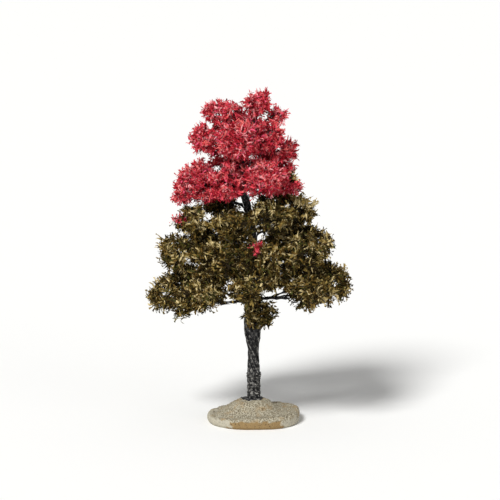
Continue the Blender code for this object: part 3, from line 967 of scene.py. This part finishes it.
boughWires, twigs = [], []
for name in massNames:
    own = np.nonzero(tufts["owner"] == name)[0]
    shows = "bough_" + name in cadNodes
    path = limbPath("bough_" + name) if shows else hiddenPath(massMiddle(name))
    count = boughLook["wires" if shows else "hiddenWires"]
    wires, freeEnds = bundle(path, count, farApart(tuftPlaces[own], count))
    boughWires += wires
    twigs += growTwigs(own, path[-1][0], freeEnds)

print("bough wires:", len(boughWires), "twigs:", len(twigs))
finishPiece(wirePiece("bough_wires", boughWires, 1), boughPaint, boughNames)
finishPiece(wirePiece("twigs", twigs, 0), boughPaint)


# The shavings' cuts, each a strip of a few faces: widths along the strip from root to tip,
# bend and twist in degrees, and a crease that lifts the middle.
shavingCuts = {
    "curl": {"across": 1, "along": 4, "widths": (0.6, 1.0, 0.95, 0.7, 0.15), "bend": 125, "twist": 35},
    "hook": {"across": 1, "along": 4, "widths": (0.5, 0.9, 1.0, 0.8, 0.3), "bend": 175, "twist": -30},
    "blade": {"across": 1, "along": 3, "widths": (0.55, 1.0, 0.8, 0.10), "bend": 68, "twist": 60},
    "trough": {
        "across": 2, "along": 3, "widths": (0.5, 1.0, 0.85, 0.2), "bend": 98, "twist": 20, "crease": 0.45},
    "petal": {"across": 2, "along": 2, "widths": (0.4, 1.0, 0.2), "bend": 55, "twist": 15, "crease": 0.40},
    "thread": {"across": 1, "along": 3, "widths": (1.0, 0.9, 0.7, 0.3), "bend": 80, "twist": 90},
}
tipSkew = 0.10  # one corner of the tip runs on by this share of the length, and the other less


def cutShaving(shape):
    # unit strip: root at the origin, running along +Y, facing +Z. Its middle line grows with the
    # strip's length and the offsets across it with the width, so they are kept apart.
    bm = bmesh.new()
    bmesh.ops.create_grid(bm, x_segments=shape["across"], y_segments=shape["along"], size=0.5)
    bend, twist = math.radians(shape["bend"]), math.radians(shape["twist"])
    stops = np.linspace(0.0, 1.0, len(shape["widths"]))
    line, section = [], []
    for v in bm.verts:
        share = v.co.y + 0.5
        width = float(np.interp(share, stops, shape["widths"]))
        across = v.co.x * width
        lift = shape.get("crease", 0.0) * (0.5 * width - abs(across))
        skew = math.copysign(tipSkew, v.co.x) if share > 0.99 and abs(v.co.x) > 0.1 else 0.0
        turn = twist * share
        x = across * math.cos(turn) - lift * math.sin(turn)
        z = across * math.sin(turn) + lift * math.cos(turn)
        angle = bend * share
        line.append((0.0, math.sin(angle) / bend + skew, (1 - math.cos(angle)) / bend))
        section.append((x, -z * math.sin(angle), z * math.cos(angle)))
    bmesh.ops.triangulate(bm, faces=bm.faces[:])
    faces = np.array([[v.index for v in f.verts] for f in bm.faces])
    bm.free()
    return np.array(line), np.array(section), faces


cuts = {name: cutShaving(shape) for name, shape in shavingCuts.items()}
cutNames = list(cuts)

# Shavings lie in locks: strips that curl the same way, side by side. Lengths are from, to
# and the share of the locks.
shavingLook = {
    "olive": {
        "locks": 6,  # to a tuft that shows
        "lean": (-0.15, 0.85),  # how far a lock leans outwards from the clump's skin
        "inwards": 0.6,  # share of locks that curl back over the clump
        "scatter": 1.2,  # how far from the tuft's middle a lock starts
        "spread": 0.18,  # how much its strips part
        "beside": 0.42,  # and how far apart they start
        "length": ((2.4, 3.4, 0.35), (3.4, 4.7, 0.45), (4.7, 6.2, 0.20)),
        "width": (0.42, 0.95),
        "cuts": {"curl": 0.34, "hook": 0.16, "blade": 0.14, "trough": 0.20, "petal": 0.04, "thread": 0.12},
    },
    "rose": {
        "locks": 7,
        "lean": (0.0, 1.1),
        "inwards": 0.45,
        "scatter": 1.0,
        "spread": 0.24,
        "beside": 0.40,
        "length": ((1.7, 2.5, 0.35), (2.5, 3.5, 0.45), (3.5, 4.8, 0.20)),
        "width": (0.42, 0.90),
        "cuts": {"curl": 0.24, "hook": 0.10, "blade": 0.26, "trough": 0.16, "petal": 0.16, "thread": 0.08},
    },
    "hiddenLocks": 2,  # to a tuft that doesn't show
    "strips": 4,  # to a lock
    "threadWidth": 0.22,
    "stripLength": (0.65, 1.1),  # of its lock's length
    "setBack": 0.35,  # share of a strip that lies behind where it starts
    "lockRoll": 0.45,  # how unevenly the locks face
    "stripRoll": 0.35,  # and the strips of one lock
    "tipReach": 0.85,  # how far along a strip its tip is looked for
}

# tints from dark to pale: colour and share of the shavings
tints = {
    "olive": {
        "bark": ("#231b0c", 0.13),
        "umber": ("#3a2c12", 0.18),
        "moss": ("#45461f", 0.09),
        "drab": ("#50461f", 0.15),
        "bronze": ("#695124", 0.17),
        "khaki": ("#8c763f", 0.16),
        "straw": ("#ae9a63", 0.115),
        "hay": ("#ccb987", 0.035),
    },
    "rose": {
        "wine": ("#981b28", 0.14),
        "deep": ("#c02c3b", 0.25),
        "rose": ("#e0505c", 0.28),
        "orchid": ("#dc5472", 0.08),
        "coral": ("#e46e69", 0.14),
        "blush": ("#f09c9f", 0.11),
    },
}
# what makes a shaving paler or darker than chance would: patches, painted light on upward locks and painted
# shade deep in the crown
paleLook = {
    "patch": 9.0,  # size of a paler or darker patch
    "patchShift": {"olive": 0.30, "rose": 0.15},
    "paintedTopLight": 0.10,  # painted light: upward faces are paler
    # painted shade: tufts that don't show, deep in the crown, get darker tints
    "paintedInnerShade": -0.42,
    "stripShift": 0.25,  # strips of one lock differ by this much
}


def unit(vectors):
    return vectors / np.maximum(np.linalg.norm(vectors, axis=-1, keepdims=True), 1e-9)


def randomUnits(count):
    return unit(dice.normal(size=(count, 3)))


def growShavings(family):
    # arrays for every shaving of one family: root, directions, size, cut and tint
    look = shavingLook[family]
    mine = np.nonzero(tufts["family"] == family)[0]
    locks = np.where(tufts["shown"][mine], look["locks"], shavingLook["hiddenLocks"])
    lockTuft = np.repeat(mine, locks)
    count = len(lockTuft)
    outward = tufts["outward"][lockTuft]
    patch = np.array([noise.noise(Vector(p) / (paleLook["patch"] * mm)) for p in tuftPlaces])
    # paleness: chance, patches, painted top light on upward locks and painted shade on tufts that don't
    # show
    lockPaleness = (
        dice.random(count) + paleLook["patchShift"][family] * patch[lockTuft]
        + paleLook["paintedTopLight"] * outward[:, 2]
        + np.where(tufts["shown"][lockTuft], 0.0, paleLook["paintedInnerShade"]))

    # each lock runs along the clump's skin and curls in over it or flicks out
    along = unit(np.cross(outward, randomUnits(count)))
    lockRun = unit(along + outward * dice.uniform(*look["lean"], (count, 1)))
    curl = np.where(dice.random((count, 1)) < look["inwards"], -1.0, 1.0)
    lockFacing = unit(outward * curl + shavingLook["lockRoll"] * randomUnits(count))
    scatter = randomUnits(count) * dice.random((count, 1)) ** 0.5 * look["scatter"] * mm
    lockRoot = tuftPlaces[lockTuft] + scatter
    shortest, longest, shares = np.array(look["length"]).T
    row = dice.choice(len(shares), size=count, p=shares / shares.sum())
    lockLength = dice.uniform(shortest[row], longest[row])

    # its strips lie side by side, each a little off
    each = np.repeat(np.arange(count), shavingLook["strips"])
    total = len(each)
    run = unit(lockRun[each] + look["spread"] * dice.normal(size=(total, 3)))
    stripFacing = lockFacing[each] + shavingLook["stripRoll"] * dice.normal(size=(total, 3))
    across = unit(np.cross(run, stripFacing))
    facing = unit(np.cross(across, run))
    root = lockRoot[each] + dice.normal(size=(total, 3)) * look["beside"] * mm
    length = lockLength[each] * dice.uniform(*shavingLook["stripLength"], total)
    root = root - run * (length * shavingLook["setBack"] * mm)[:, None]
    width = dice.uniform(*look["width"], total)
    cutShares = np.array(list(look["cuts"].values()))
    picked = dice.choice(len(cutShares), size=total, p=cutShares / cutShares.sum())
    cut = np.array([cutNames.index(n) for n in look["cuts"]])[picked]
    width = np.where(cut == cutNames.index("thread"), shavingLook["threadWidth"], width)
    sizes = np.stack([width, length], axis=1) * mm
    frames = np.stack([across, run, facing], axis=1)

    paleness = lockPaleness[each] + paleLook["stripShift"] * dice.normal(size=total)
    stops = np.cumsum([share for _, share in tints[family].values()])
    tint = np.searchsorted(stops / stops[-1], np.minimum(paleness, 0.999))
    return root, frames, sizes, cut, tint


def joinShavings(name, root, frames, sizes, cut):
    # one mesh from many shavings of the same tint
    allPlaces, allFaces, used = [], [], 0
    for number, cutName in enumerate(cutNames):
        mine = np.nonzero(cut == number)[0]
        line, section, faces = cuts[cutName]
        width, length = sizes[mine, 0, None, None], sizes[mine, 1, None, None]
        local = line[None, :, :] * length + section[None, :, :] * width
        places = root[mine][:, None, :] + np.einsum("nck,nkj->ncj", local, frames[mine])
        allPlaces.append(places.reshape(-1, 3))
        offsets = used + np.arange(len(mine)) * len(line)
        allFaces.append((faces[None, :, :] + offsets[:, None, None]).reshape(-1, 3))
        used += len(mine) * len(line)
    mesh = bpy.data.meshes.new(name)
    mesh.from_pydata(np.concatenate(allPlaces), [], np.concatenate(allFaces))
    mesh.update()
    return newObject(name, mesh)


def dyedShavingMaterial(name, colour):
    # Dyed aspen shavings, cut dry: one even colour, matt, with hardly a sheen on the grain.
    material, _, _ = newMaterial(
        name, {"Base Color": linear(colour), "Roughness": 0.62, "Specular IOR Level": 0.08})
    return material


for family, replaced in (("olive", oliveNames), ("rose", roseNames)):
    root, frames, sizes, cut, tint = growShavings(family)
    # none is left with its middle or its tip in an opening
    tips = root + frames[:, 1, :] * sizes[:, 1:2] * shavingLook["tipReach"]
    keep = ~(inSkyHole(tips) | inSkyHole((root + tips) / 2))
    for number, (tintName, (colour, _)) in enumerate(tints[family].items()):
        mine = keep & (tint == number)
        piece = joinShavings(f"{family}_{tintName}", root[mine], frames[mine], sizes[mine], cut[mine])
        material = dyedShavingMaterial(f"dyed shavings, {family} {tintName}", colour)
        finishPiece(piece, material, replaced, smooth=False)
print("shavings joined by tint")
